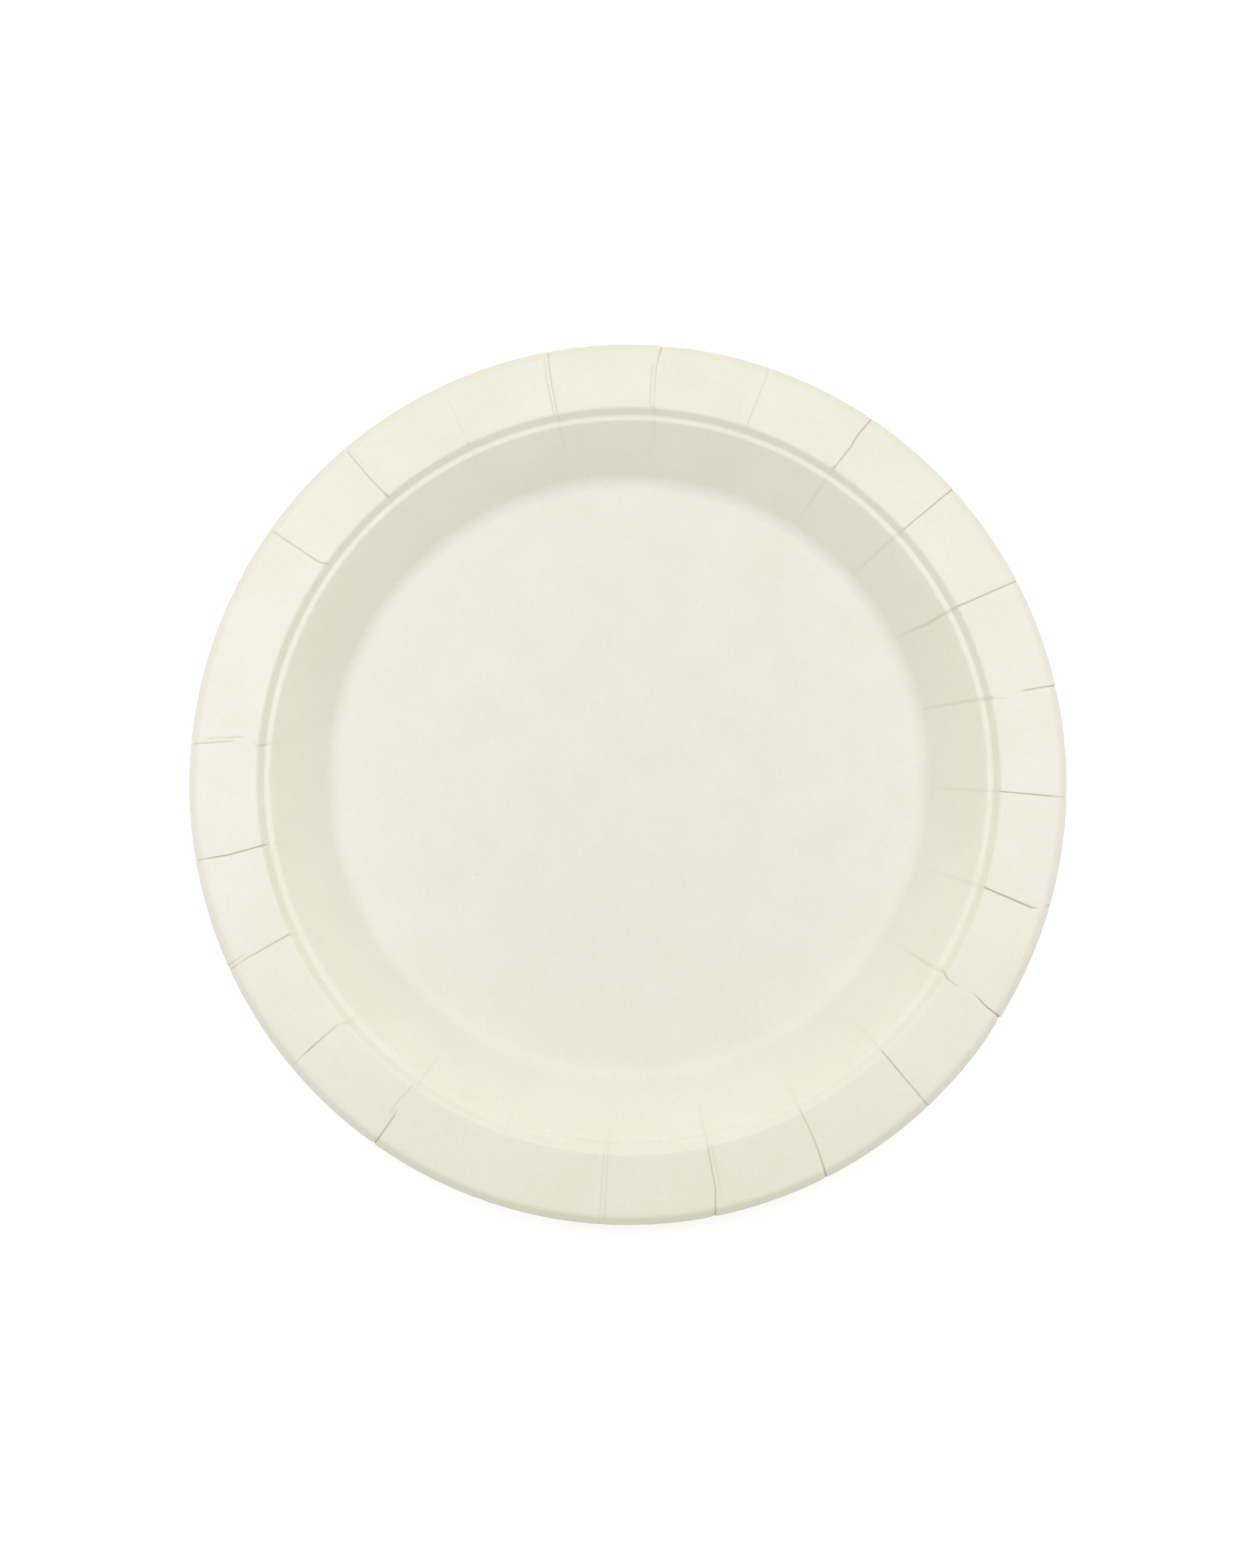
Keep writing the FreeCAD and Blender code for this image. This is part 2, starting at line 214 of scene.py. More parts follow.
PLEATS = (
    Pleat(
        0.1,
        ((114.4, 1.1), (108.0, 0.0), (104.7, -0.1), (96.7, 0.0), (92.8, 0.5)),
        (
            Stroke(0.0, 115.0, 106.9, 0.75, 0.4),
            Stroke(0.0, 106.9, 96.7, 0.3, 0.3),
            Stroke(-1.2, 108.5, 96.7, 0.3, 0.4),
        ),
        pinch=0.6,
        wall=0.12,
        nick=0.28,
        nick_length=5.0,
    ),
    Pleat(0.3, ((113.9, 0.5), (96.7, -0.3)), (Stroke(0.0, 113.9, 96.7, 0.2, 0.35),), pinch=0.25, wall=0.06),
    Pleat(
        0.6,
        ((114.5, 0.6), (107.5, -0.1), (104.2, 0.2), (96.7, -0.4)),
        (Stroke(0.0, 115.0, 96.7, 1.1, 0.9),),
        tuck=Tuck.ANTICLOCKWISE,
        pinch=0.8,
        wall=0.18,
        wall_end=82.0,
        nick=0.15,
    ),
    Pleat(
        0.1,
        ((113.9, 0.3), (96.7, -0.2)),
        (Stroke(0.0, 115.0, 96.7, 0.9, 0.9),),
        pinch=0.5,
        wall=0.30,
        wall_end=81.0,
    ),
    Pleat(
        0.0,
        ((113.9, 0.4), (96.7, -0.4), (92.8, -0.3), (89.2, 0.2), (86.5, -0.2)),
        (Stroke(0.0, 115.0, 96.7, 0.9, 1.0),),
        tuck=Tuck.ANTICLOCKWISE,
        pinch=0.6,
        wall=0.55,
        wall_end=81.5,
    ),
    Pleat(
        -0.2,
        ((114.4, 0.3), (105.3, 0.0), (99.9, 1.0), (96.7, 0.2), (87.4, -0.5)),
        (
            Stroke(0.0, 115.0, 105.5, 1.0, 0.8),
            Stroke(0.0, 100.5, 97.3, 0.2, 0.3),
        ),
        pinch=0.9,
        wall=0.38,
        wall_end=80.5,
        nick=0.25,
        nick_length=2.4,
    ),
    Pleat(
        -0.4,
        ((112.8, 0.3), (96.7, -0.2)),
        (
            Stroke(0.0, 113.9, 110.1, 0.25, 0.6),
            Stroke(0.0, 110.1, 96.5, 1.0, 1.0),
        ),
        pinch=0.3,
        wall=0.20,
        wall_end=80.5,
    ),
    Pleat(
        -0.2,
        ((114.5, -1.4), (111.8, 0.1), (109.6, 0.5), (96.7, -0.5)),
        (
            Stroke(0.0, 115.0, 113.8, 1.0, 0.4),
            Stroke(0.0, 110.3, 96.5, 1.3, 1.4),
        ),
        tuck=Tuck.ANTICLOCKWISE,
        pinch=0.5,
        wall=0.20,
        wall_end=83.0,
    ),
    Pleat(
        -0.6,
        ((114.5, 0.9), (109.6, 0.6), (105.1, -0.5), (99.9, 0.2), (96.7, 0.0), (95.7, -1.0), (92.8, -0.4)),
        (
            Stroke(0.0, 115.0, 106.9, 1.3, 1.0),
            Stroke(0.0, 106.9, 104.8, 0.8, 0.2),
            Stroke(0.0, 100.5, 95.7, 0.5, 0.8),
        ),
        pinch=0.7,
        wall=0.36,
        wall_end=84.0,
        nick=0.35,
        nick_length=6.5,
    ),
    Pleat(-0.6, ((113.9, 0.3), (96.7, -0.2)), (Stroke(0.0, 115.0, 96.3, 0.7, 1.0),), wall=0.16),
    Pleat(
        -0.2,
        ((114.4, 1.2), (108.5, 0.3), (104.2, -0.2), (96.7, -0.3)),
        (
            Stroke(0.0, 115.0, 107.5, 1.2, 0.8),
            Stroke(0.0, 107.5, 96.3, 0.8, 0.5),
        ),
        tuck=Tuck.ANTICLOCKWISE,
        wall=0.15,
        wall_end=87.4,
        nick=0.2,
    ),
    Pleat(
        -0.3,
        ((114.4, 1.4), (107.5, 0.0), (96.7, -0.2)),
        (
            Stroke(0.0, 115.0, 107.5, 0.9, 0.7),
            Stroke(0.0, 107.5, 96.3, 0.7, 0.5),
            Stroke(-1.2, 111.2, 96.7, 0.1, 0.25),
        ),
        tuck=Tuck.ANTICLOCKWISE,
        wall=0.15,
        nick=0.2,
        nick_length=2.4,
    ),
    Pleat(
        -0.4,
        STRAIGHT,
        (
            Stroke(0.0, 113.1, 97.3, 0.2, 0.25),
            Stroke(1.2, 113.9, 96.5, 0.2, 0.25),
        ),
        wall=0.11,
        wall_end=89.2,
    ),
    Pleat(0.4, STRAIGHT, (Stroke(0.0, 113.9, 112.3, 0.1, 0.05),), wall=0.05, nick=0.04),
    Pleat(
        0.7,
        ((114.4, 0.1), (105.9, 0.0), (102.1, 0.4), (96.7, -0.6)),
        (
            Stroke(0.0, 115.0, 105.9, 1.2, 0.9),
            Stroke(0.0, 105.9, 103.2, 0.9, 0.1),
            Stroke(1.2, 106.4, 96.7, 0.3, 0.35),
        ),
        pinch=0.3,
        wall=0.18,
        nick=0.25,
        nick_length=3.0,
    ),
    Pleat(
        0.3,
        ((113.9, 0.0), (102.1, 0.2), (97.8, 0.1), (96.2, -1.2), (92.8, -1.1)),
        (
            Stroke(0.0, 113.9, 108.5, 0.25, 0.5),
            Stroke(0.0, 108.5, 98.5, 1.0, 0.5),
        ),
        tuck=Tuck.ANTICLOCKWISE,
        pinch=0.5,
        wall=0.18,
        wall_end=90.1,
        nick=0.06,
    ),
    Pleat(
        0.4,
        ((113.9, -0.9), (109.6, -0.3), (96.7, 0.5), (94.7, -0.7)),
        (
            Stroke(0.0, 115.0, 110.2, 0.6, 0.5),
            Stroke(1.2, 115.0, 109.6, 0.5, 0.4),
            Stroke(0.0, 110.2, 96.7, 0.6, 0.9),
        ),
        pinch=0.5,
        wall=0.12,
        wall_end=89.2,
    ),
    Pleat(
        -0.4,
        ((113.9, 0.1), (105.3, -0.2), (96.7, 0.4)),
        (
            Stroke(0.0, 115.0, 109.6, 0.3, 0.8),
            Stroke(0.0, 109.6, 96.1, 1.0, 1.2),
        ),
        tuck=Tuck.ANTICLOCKWISE,
        pinch=0.5,
        wall=0.07,
        nick=0.15,
        nick_length=2.5,
    ),
    Pleat(
        0.4,
        ((113.4, -1.1), (104.7, 0.1), (98.3, 0.8), (96.7, -0.6), (93.7, 0.4), (89.2, 1.6)),
        (
            Stroke(0.0, 113.9, 103.7, 0.6, 0.6),
            Stroke(1.2, 109.5, 101.0, 0.4, 0.5),
            Stroke(0.0, 97.2, 95.0, 0.4, 0.6),
        ),
        pinch=0.4,
        wall=0.15,
        wall_end=88.3,
        nick=0.08,
    ),
    Pleat(0.0, STRAIGHT, (Stroke(0.0, 112.8, 110.7, 0.15, 0.05),), pinch=0.15, wall=0.04, nick=0.04),
    Pleat(
        0.1,
        ((113.9, 0.0), (98.3, 0.0), (96.2, 0.8)),
        (Stroke(0.0, 113.5, 96.5, 0.6, 0.9),),
        pinch=0.5,
        wall=0.06,
    ),
    Pleat(
        -0.3,
        ((112.8, 0.1), (104.2, -0.2), (96.7, 0.2)),
        (
            Stroke(0.0, 113.1, 96.5, 0.6, 0.9),
            Stroke(1.2, 111.8, 107.5, 0.15, 0.25),
        ),
        tuck=Tuck.ANTICLOCKWISE,
        pinch=0.9,
        wall=0.06,
    ),
    Pleat(0.2, ((113.9, 0.0), (96.7, -0.4)), (Stroke(0.0, 110.2, 99.4, 0.1, 0.2),), pinch=0.4, wall=0.08),
    Pleat(
        -0.1,
        ((114.4, 0.7), (108.0, 0.0), (96.7, -0.1)),
        (
            Stroke(0.0, 115.0, 96.7, 0.6, 0.45),
            Stroke(-1.2, 112.1, 96.7, 0.3, 0.45),
        ),
        pinch=0.3,
        wall=0.13,
        nick=0.15,
    ),
)


@dataclass(frozen=True)
class PleatRing:
    """The ring of pleats: how they lie around the plate and what a fold does to the sheet."""

    pleats: tuple[Pleat, ...] = PLEATS
    phase: float = math.radians(3.7)
    tuck_width: float = 1.2 * MM
    foot_radius: float = 85.0 * MM
    fold_depth: float = 0.13 * MM
    crease_depth: float = 0.08 * MM
    crease_half: float = 0.34 * MM
    wall_half: float = 0.55 * MM
    wall_fade: float = 7.0 * MM
    wall_share: float = 0.5
    # Painted shade down the wall's fold lines.
    wall_shade: float = 0.75
    least_tuck: float = 0.15 * MM
    pinch_depth: float = 0.14 * MM
    pinch_radius: float = 96.6 * MM
    pinch_along: float = 0.55 * MM
    pinch_across: float = 0.6 * MM
    # Painted shade in the dimple at each pleat's inner corner.
    pinch_shade: float = 0.6
    sway_start: float = 70.0 * MM
    sway_run: float = 10.0 * MM
    nick_start: float = 112.6 * MM
    nick_back: float = 0.25 * MM
    near_columns: tuple[float, ...] = (
        -2.6, -1.9, -1.5, -1.35, -1.25, -1.2, -1.15, -1.05, -0.85, -0.6, -0.4, -0.25, -0.14, -0.07,
        0.0, 0.07, 0.14, 0.25, 0.4, 0.6, 0.85, 1.05, 1.15, 1.2, 1.25, 1.35, 1.5, 1.9, 2.6,
    )  # fmt: skip
    far_columns: int = 4


@dataclass
class PlateSheet:
    """The plate's one sheet, as a closed grid of rings and columns.

    Edge rows are the cut edge's rings: how deep each lies in the board, as a share of its thickness, and how
    far it stands out, as a share of the edge's rounding. The underside keeps every second ring, and all of
    the last edge_rings.
    """

    form: PressedForm = field(default_factory=PressedForm)
    ring: PleatRing = field(default_factory=PleatRing)
    edge_rows: tuple[tuple[float, float], ...] = ((0.12, 0.75), (0.35, 1.0), (0.65, 1.0), (0.88, 0.75))
    edge_rings: int = 12
    name: str = "plate_board"

    def columns(self) -> tuple[np.ndarray, np.ndarray, np.ndarray]:
        """The grid's columns, close together at each pleat and far apart between two pleats.

        Returns:
            Each column's bearing, its pleat's number and its distance from that pleat's middle at the rim.
        """
        count = len(self.ring.pleats)
        near = np.array(self.ring.near_columns) * MM
        pitch = 2 * math.pi / count
        stray = np.radians([pleat.stray for pleat in self.ring.pleats])
        middles = self.ring.phase + pitch * np.arange(count) + stray
        nexts = np.roll(middles, -1) + np.where(np.arange(count) == count - 1, 2 * math.pi, 0.0)
        shares = np.linspace(0.0, 1.0, self.ring.far_columns + 2)[1:-1]
        starts = middles + near[-1] / self.form.plate_radius
        ends = nexts + near[0] / self.form.plate_radius
        far = starts[:, None] + (ends - starts)[:, None] * shares
        close = middles[:, None] + near / self.form.plate_radius
        away = (far - middles[:, None]) * self.form.plate_radius
        bearings = np.concatenate([close, far], axis=1)
        offsets = np.concatenate([np.tile(near, (count, 1)), away], axis=1)
        owners = np.repeat(np.arange(count), bearings.shape[1])
        return bearings.ravel(), owners, offsets.ravel()

    def sway(self, radii: np.ndarray, owners: np.ndarray, offsets: np.ndarray) -> np.ndarray:
        """How far each grid point turns so that its column follows its pleat's own line.

        The turn is the path's sideways distance over the radius, in full near the pleat, and it fades with
        the square of a cosine to nothing halfway to the next pleat.

        Args:
            radii: Radius of each ring.
            owners: Number of each column's pleat.
            offsets: Distance of each column from its pleat's middle.

        Returns:
            Turn of each point, a ring per row.
        """
        turn = np.empty((len(radii), len(self.ring.pleats)))
        for number, pleat in enumerate(self.ring.pleats):
            path = np.array(sorted(pleat.path)) * MM
            turn[:, number] = np.interp(radii, path[:, 0], path[:, 1]) / radii
        half = math.pi * self.form.plate_radius / len(self.ring.pleats)
        near = self.ring.near_columns[-1] * MM
        beyond = np.clip((np.abs(offsets) - near) / (half - near), 0.0, 1.0)
        fade = np.cos(beyond * math.pi / 2) ** 2
        begin = np.clip((radii - self.ring.sway_start) / self.ring.sway_run, 0.0, 1.0)
        return turn[:, owners] * fade * begin[:, None]

    def folds(
        self, radii: np.ndarray, owners: np.ndarray, offsets: np.ndarray, face: Face
    ) -> tuple[np.ndarray, np.ndarray]:
        """How far the pleats push each point of a face in, and how much painted shade their creases get.

        A line is a V of half width crease_half. Beside it the face drops by fold_depth at the line and rises
        in a straight ramp over the tuck's width. On the underside the line lies at the tuck's other edge.
        Down the wall the line is a bell of half width wall_half, and the pinch is one both ways.

        Args:
            radii: Radius of each ring.
            owners: Number of each column's pleat.
            offsets: Distance of each column from its pleat's middle.
            face: The face of the sheet.

        Returns:
            Displacement along the face's normal, and the creases' painted shade, partly their cracked coating,
            from 0 to 1, both a ring per row.
        """
        ring = self.ring
        height = np.zeros((len(radii), len(owners)))
        fold_wear_and_shade = np.zeros_like(height)
        grow = np.clip((radii - ring.foot_radius) / (self.form.plate_radius - ring.foot_radius), 0.0, 1.0)
        tuck = np.maximum(ring.tuck_width * grow, ring.least_tuck)[:, None]
        for number, pleat in enumerate(ring.pleats):
            mine = np.flatnonzero(owners == number)
            side = pleat.tuck.value
            across = np.broadcast_to(offsets[mine], (len(radii), len(mine)))
            shift = side * tuck if face is Face.UNDER else 0.0
            for stroke in pleat.strokes:
                show = self.window(radii, stroke.inner * MM, stroke.outer * MM)
                share = np.clip((radii / MM - stroke.inner) / (stroke.outer - stroke.inner), 0.0, 1.0)
                change = stroke.outer_weight - stroke.inner_weight
                weight = (show * (stroke.inner_weight + change * share))[:, None]
                gap = across - stroke.lane * MM - shift
                line = np.clip(1.0 - np.abs(gap) / ring.crease_half, 0.0, 1.0) * weight
                beside = gap * side if face is Face.UPPER else -gap * side
                ramp = np.where(beside >= 0.0, np.clip(1.0 - beside / tuck, 0.0, 1.0), 0.0) * weight
                height[:, mine] -= ring.crease_depth * line + ring.fold_depth * ramp * (stroke.lane == 0.0)
                fold_wear_and_shade[:, mine] = np.maximum(fold_wear_and_shade[:, mine], line)
            fade = np.clip((radii - pleat.wall_end * MM) / ring.wall_fade, 0.0, 1.0)
            fade *= self.window(radii, pleat.wall_end * MM, ring.pinch_radius)
            low = fade[:, None] * pleat.wall
            soft = np.exp(-((across - shift) ** 2) / ring.wall_half**2) * low
            height[:, mine] -= ring.wall_share * ring.fold_depth * soft
            fold_wear_and_shade[:, mine] = np.maximum(fold_wear_and_shade[:, mine], ring.wall_shade * soft)
            near = ((radii - ring.pinch_radius) / ring.pinch_along) ** 2
            dot = np.exp(-near[:, None] - (across / ring.pinch_across) ** 2) * pleat.pinch
            height[:, mine] -= ring.pinch_depth * dot
            fold_wear_and_shade[:, mine] = np.maximum(fold_wear_and_shade[:, mine], ring.pinch_shade * dot)
        return height, fold_wear_and_shade

    @staticmethod
    def window(radii: np.ndarray, inner: float, outer: float, soft: float = 0.5 * MM) -> np.ndarray:
        """A weight that is 1 between two radii and falls off in a straight line beyond them.

        Args:
            radii: Radius of each ring.
            inner: Inner end.
            outer: Outer end.
            soft: Length of each fall.

        Returns:
            The weight of each ring.
        """
        rise = np.clip((radii - inner) / soft + 1.0, 0.0, 1.0)
        fall = np.clip((outer - radii) / soft + 1.0, 0.0, 1.0)
        return rise * fall

    def nicks(self, radii: np.ndarray, owners: np.ndarray, offsets: np.ndarray) -> np.ndarray:
        """How far the outline steps in at each pleat: in full at the crease, and less beside it.

        The step falls off in a straight line, over nick_length clockwise and over nick_back the other way.

        Args:
            radii: Radius of each ring.
            owners: Number of each column's pleat.
            offsets: Distance of each column from its pleat's middle.

        Returns:
            The step inwards of each point, a ring per row.
        """
        depth = np.array([pleat.nick for pleat in self.ring.pleats])[owners] * MM
        length = np.array([pleat.nick_length for pleat in self.ring.pleats])[owners] * MM
        clockwise = np.clip(1.0 - offsets / length, 0.0, 1.0) * (offsets >= 0.0)
        behind = np.clip(1.0 + offsets / self.ring.nick_back, 0.0, 1.0) * (offsets < 0.0)
        start = self.ring.nick_start
        outer = np.clip((radii - start) / (self.form.plate_radius - start), 0.0, 1.0)
        return outer[:, None] * depth * (clockwise + behind)

    def build(self, material: bpy.types.Material) -> bpy.types.Object:
        """Makes the sheet.

        The rows run from the middle of the upper face to the lip, around the cut edge and back along the
        underside, which is the upper face moved by the board's thickness along its normal.

        Args:
            material: The board's material.

        Returns:
            The plate's object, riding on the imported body.
        """
        section = self.form.section()
        bearings, owners, offsets = self.columns()
        radii = section.points[:, 0]
        sway = self.sway(radii, owners, offsets)
        nick = self.nicks(radii, owners, offsets)
        upper_height, upper_wear_and_shade = self.folds(radii, owners, offsets, Face.UPPER)
        under_height, under_wear_and_shade = self.folds(radii, owners, offsets, Face.UNDER)
        board = self.form.board
        upper = self.place(section, bearings + sway, upper_height, nick)
        under = self.place(section, bearings + sway, -board - under_height, nick)
        edge = self.edge(section, bearings + sway[-1], nick[-1], upper_height[-1], under_height[-1])
        inner = len(radii) - self.edge_rings
        kept = np.concatenate([np.arange(0, inner, 2), np.arange(inner, len(radii))])[::-1]
        grid = np.concatenate([upper, edge, under[kept]])
        rows, count = grid.shape[:2]
        points = np.concatenate([[[0.0, 0.0, board]], grid.reshape(-1, 3), [[0.0, 0.0, 0.0]]])
        edge_wear_and_shade = np.repeat(upper_wear_and_shade[-1][None], len(edge), axis=0)
        fold_wear_and_shade = np.concatenate([upper_wear_and_shade, edge_wear_and_shade, under_wear_and_shade[kept]])
        cut = np.zeros((rows, count))
        cut[len(upper) : len(upper) + len(edge)] = 1.0
        below = np.zeros((rows, count))
        below[len(upper) + len(edge) :] = 1.0
        mesh = make_mesh(self.name, points, rows, count)
        # The creases' painted shade, partly their cracked coating, goes to the material in this attribute.
        write_values(mesh, "crease_wear_and_shade", fold_wear_and_shade, 0.0)
        write_values(mesh, "cut", cut, 0.0)
        write_values(mesh, "below", below, 1.0)
        plate = bpy.data.objects.new(self.name, mesh)
        bpy.context.collection.objects.link(plate)
        plate.data.materials.append(material)
        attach(plate, "root")
        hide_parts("plate")
        LOG.info("%s: %d points, %d faces", self.name, len(mesh.vertices), len(mesh.polygons))
        return plate

    def edge(
        self, section: Section, angles: np.ndarray, nick: np.ndarray, upper: np.ndarray, under: np.ndarray
    ) -> np.ndarray:
        """The rings of the cut edge, from the upper face's last ring to the underside's.

        Each lies at its depth along the last normal and stands out by its share of the rounding. The folds of
        the two faces fade into each other across the edge.

        Args:
            section: The plate's section.
            angles: Bearing of each column at the edge.
            nick: Step inwards of each column.
            upper: Displacement of the upper face's last ring.
            under: Displacement of the underside's last ring.

        Returns:
            Points, a ring per row.
        """
        normal = section.normals[-1]
        outward = np.array([normal[1], -normal[0]])
        rings = []
        for depth, reach in self.edge_rows:
            down = normal * self.form.board * depth
            spot = section.points[-1] - down + outward * self.form.edge_round * reach
            radius = spot[0] - nick
            height = spot[1] + (upper * (1.0 - depth) - under * depth) * normal[1]
            rings.append(np.stack([radius * np.sin(angles), radius * np.cos(angles), height], axis=-1))
        return np.array(rings)

    @staticmethod
    def place(section: Section, angles: np.ndarray, heights: np.ndarray, nick: np.ndarray) -> np.ndarray:
        """Points of a face: the section turned about the axis and moved along its normals.

        Args:
            section: The plate's section.
            angles: Bearing of each point.
            heights: Distance of each point from the section along the normal.
            nick: Step inwards of each point.

        Returns:
            Points as x = r sin(bearing), y = r cos(bearing) and height.
        """
        radius = section.points[:, 0:1] + section.normals[:, 0:1] * heights - nick
        height = section.points[:, 1:2] + section.normals[:, 1:2] * heights
        return np.stack([radius * np.sin(angles), radius * np.cos(angles), height], axis=-1)


def make_mesh(name: str, points: np.ndarray, rows: int, count: int) -> bpy.types.Mesh:
    """Joins rings of points into a closed mesh with a pole at each end.

    Args:
        name: Name of the mesh.
        points: The first pole, the rings one after the other, and the last pole.
        rows: Number of rings.
        count: Points in a ring.

    Returns:
        The mesh, smooth, with its normals outwards: the first pole lies on top, and columns run clockwise.
    """
    index = 1 + np.arange(rows * count).reshape(rows, count)
    onward = np.roll(index, -1, axis=1)
    quads = np.stack([index[:-1], index[1:], onward[1:], onward[:-1]], axis=-1).reshape(-1, 4)[:, ::-1]
    top = np.stack([np.zeros(count, int), onward[0], index[0]], axis=-1)
    bottom = np.stack([np.full(count, len(points) - 1), index[-1], onward[-1]], axis=-1)
    mesh = bpy.data.meshes.new(name)
    mesh.from_pydata(points.tolist(), [], top.tolist() + quads.tolist() + bottom.tolist())
    mesh.polygons.foreach_set("use_smooth", np.ones(len(mesh.polygons), bool))
    mesh.update()
    return mesh


def write_values(mesh: bpy.types.Mesh, name: str, values: np.ndarray, last: float) -> None:
    """Stores a value at each point of a mesh that make_mesh made.

    Args:
        mesh: The mesh.
        name: Name of the attribute.
        values: Values of the rings. The first pole's is 0.
        last: Value of the last pole.
    """
    layer = mesh.attributes.new(name, "FLOAT", "POINT")
    layer.data.foreach_set("value", np.concatenate([[0.0], values.ravel(), [last]]).astype(np.float32))


@dataclass(frozen=True)
class BoardFinish:
    """Colours and texture of the paperboard, in linear light.

    Each speck is an x and a y on the floor and a radius, all in millimetres.
    """

    pale: tuple[float, float, float] = (0.867, 0.857, 0.768)
    deep: tuple[float, float, float] = (0.833, 0.821, 0.724)
    # Colour of the creases: painted shade, partly their cracked coating.
    crease_wear_and_shade: tuple[float, float, float] = (0.550, 0.490, 0.365)
    cut: tuple[float, float, float] = (0.780, 0.750, 0.660)
    below: tuple[float, float, float] = (0.800, 0.790, 0.705)
    # Painted shade on the plate's floor and painted light on its brim, blended between the two heights below.
    floor_painted_shade: tuple[float, float, float] = (0.972, 0.980, 0.975)
    brim_painted_light: tuple[float, float, float] = (1.020, 1.015, 0.995)
    shade_to_light_heights: tuple[float, float] = (2.0 * MM, 17.0 * MM)
    speck: tuple[float, float, float] = (0.560, 0.520, 0.430)
    fibre_size: float = 0.9 * MM
    fibre_detail: float = 6.0
    fibre_share: float = 0.55
    cloud_size: float = 16.0 * MM
    cloud_detail: float = 2.0
    cloud_share: float = 0.45
    tone_range: tuple[float, float] = (0.36, 0.64)
    below_share: float = 0.7
    index: float = 1.45
    sheen: float = 0.35
    rough: float = 0.62
    rough_spread: float = 0.12
    bump: float = 0.02 * MM
    bump_strength: float = 0.6
    specks: tuple[tuple[float, float, float], ...] = (
        (-41.5, -28.0, 0.28),
        (19.0, 47.0, 0.24),
        (33.0, -9.0, 0.18),
    )


class Graph:
    """Builds the nodes of a material or of the world.

    The inputs and the output of a colour mix are found by number, because its sockets for other kinds of
    value have the same names. The inputs are the share and the two colours.
    """

    MIX_INPUTS = (0, 6, 7)
    MIX_OUTPUT = 2

    def __init__(self, owner: bpy.types.Material | bpy.types.World) -> None:
        """Starts with no nodes.

        Args:
            owner: The material or world that the nodes belong to.
        """
        owner.use_nodes = True
        self.tree = owner.node_tree
        self.tree.nodes.clear()

    def add(self, kind: str, **settings: object) -> bpy.types.Node:
        """Adds a node.

        Args:
            kind: Type of the node.
            settings: Its properties.

        Returns:
            The node.
        """
        node = self.tree.nodes.new(kind)
        for key, value in settings.items():
            setattr(node, key, value)
        return node

    def link(self, source: bpy.types.NodeSocket, target: bpy.types.NodeSocket) -> None:
        """Joins an output to an input.

        Args:
            source: The output.
            target: The input.
        """
        self.tree.links.new(source, target)

    def math(self, operation: str, first: object, second: object = 0.0) -> bpy.types.NodeSocket:
        """Adds a calculation with two values.

        Args:
            operation: What is done with them.
            first: A number or an output.
            second: A number or an output.

        Returns:
            The result.
        """
        node = self.add("ShaderNodeMath", operation=operation)
        for socket, value in zip(node.inputs, (first, second)):
            if isinstance(value, bpy.types.NodeSocket):
                self.link(value, socket)
            else:
                socket.default_value = value
        return node.outputs[0]

    def mix(self, share: object, first: object, second: object, blend: str = "MIX") -> bpy.types.NodeSocket:
        """Mixes two colours.

        Args:
            share: Part of the second colour, a number or an output.
            first: A colour or an output.
            second: A colour or an output.
            blend: How the second colour is laid over the first.

        Returns:
            The mixed colour.
        """
        node = self.add("ShaderNodeMix", data_type="RGBA", blend_type=blend)
        for number, value in zip(self.MIX_INPUTS, (share, first, second)):
            socket = node.inputs[number]
            if isinstance(value, bpy.types.NodeSocket):
                self.link(value, socket)
            elif isinstance(value, tuple):
                socket.default_value = (*value, 1.0)
            else:
                socket.default_value = value
        return node.outputs[self.MIX_OUTPUT]

    def noise(self, place: bpy.types.NodeSocket, size: float, detail: float) -> bpy.types.NodeSocket:
        """Adds a noise texture.

        Args:
            place: Where it is read.
            size: Size of its blotches in metres.
            detail: How many finer layers it has.

        Returns:
            Its value.
        """
        node = self.add("ShaderNodeTexNoise")
        node.inputs["Scale"].default_value = 1.0 / size
        node.inputs["Detail"].default_value = detail
        self.link(place, node.inputs["Vector"])
        return node.outputs["Fac"]

    def spread(self, value: bpy.types.NodeSocket, span: tuple[float, float]) -> bpy.types.NodeSocket:
        """Stretches a value so that a span of it runs from 0 to 1, and clamps it there.

        Args:
            value: The value.
            span: The values that become 0 and 1.

        Returns:
            The stretched value.
        """
        node = self.add("ShaderNodeMapRange")
        node.inputs["From Min"].default_value = span[0]
        node.inputs["From Max"].default_value = span[1]
        self.link(value, node.inputs["Value"])
        return node.outputs["Result"]

    def attribute(self, name: str) -> bpy.types.NodeSocket:
        """Reads a value that the mesh carries.

        Args:
            name: Name of the attribute.

        Returns:
            Its value.
        """
        return self.add("ShaderNodeAttribute", attribute_name=name).outputs["Fac"]

    def seen(self) -> bpy.types.NodeSocket:
        """Tells the rays that show a surface from those that only carry its light.

        Returns:
            1 for a ray from the camera, off a shiny surface or through a clear one, and 0 for any other.
        """
        path = self.add("ShaderNodeLightPath")
        direct = self.math("MAXIMUM", path.outputs["Is Camera Ray"], path.outputs["Is Glossy Ray"])
        return self.math("MAXIMUM", direct, path.outputs["Is Transmission Ray"])


